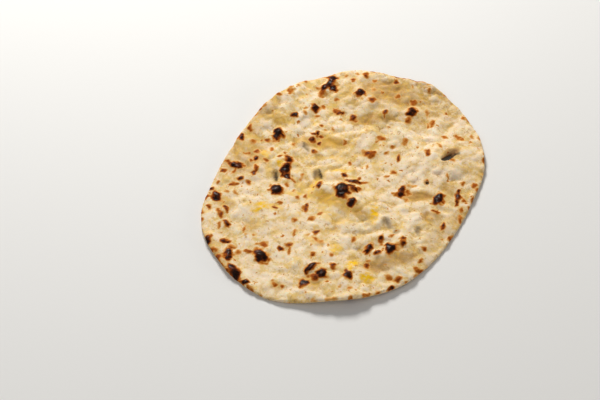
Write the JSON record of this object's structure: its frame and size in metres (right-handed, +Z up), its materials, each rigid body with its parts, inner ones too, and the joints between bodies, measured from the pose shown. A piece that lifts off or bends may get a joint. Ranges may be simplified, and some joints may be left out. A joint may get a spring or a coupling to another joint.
{
  "type": "tandoori roti",
  "caption": "Oval leavened flatbread, thin and gently wavy, with charred blisters on its top face, a torn slit and a pinhole. Lies flat.",
  "frame": {"origin": "on the surface that the bread rests on, under the middle of its outline", "axes": "+Y along the length of the bread, +X across it, +Z up through its blistered face"},
  "size_m": [0.178, 0.225, 0.0096],
  "materials": {
    "baked_dough": "matt baked wheat dough, cream with golden brown freckles, black charred blisters and faint melted butter"
  },
  "bodies": {
    "root": {"roti": "baked_dough"}
  },
  "joints": []
}
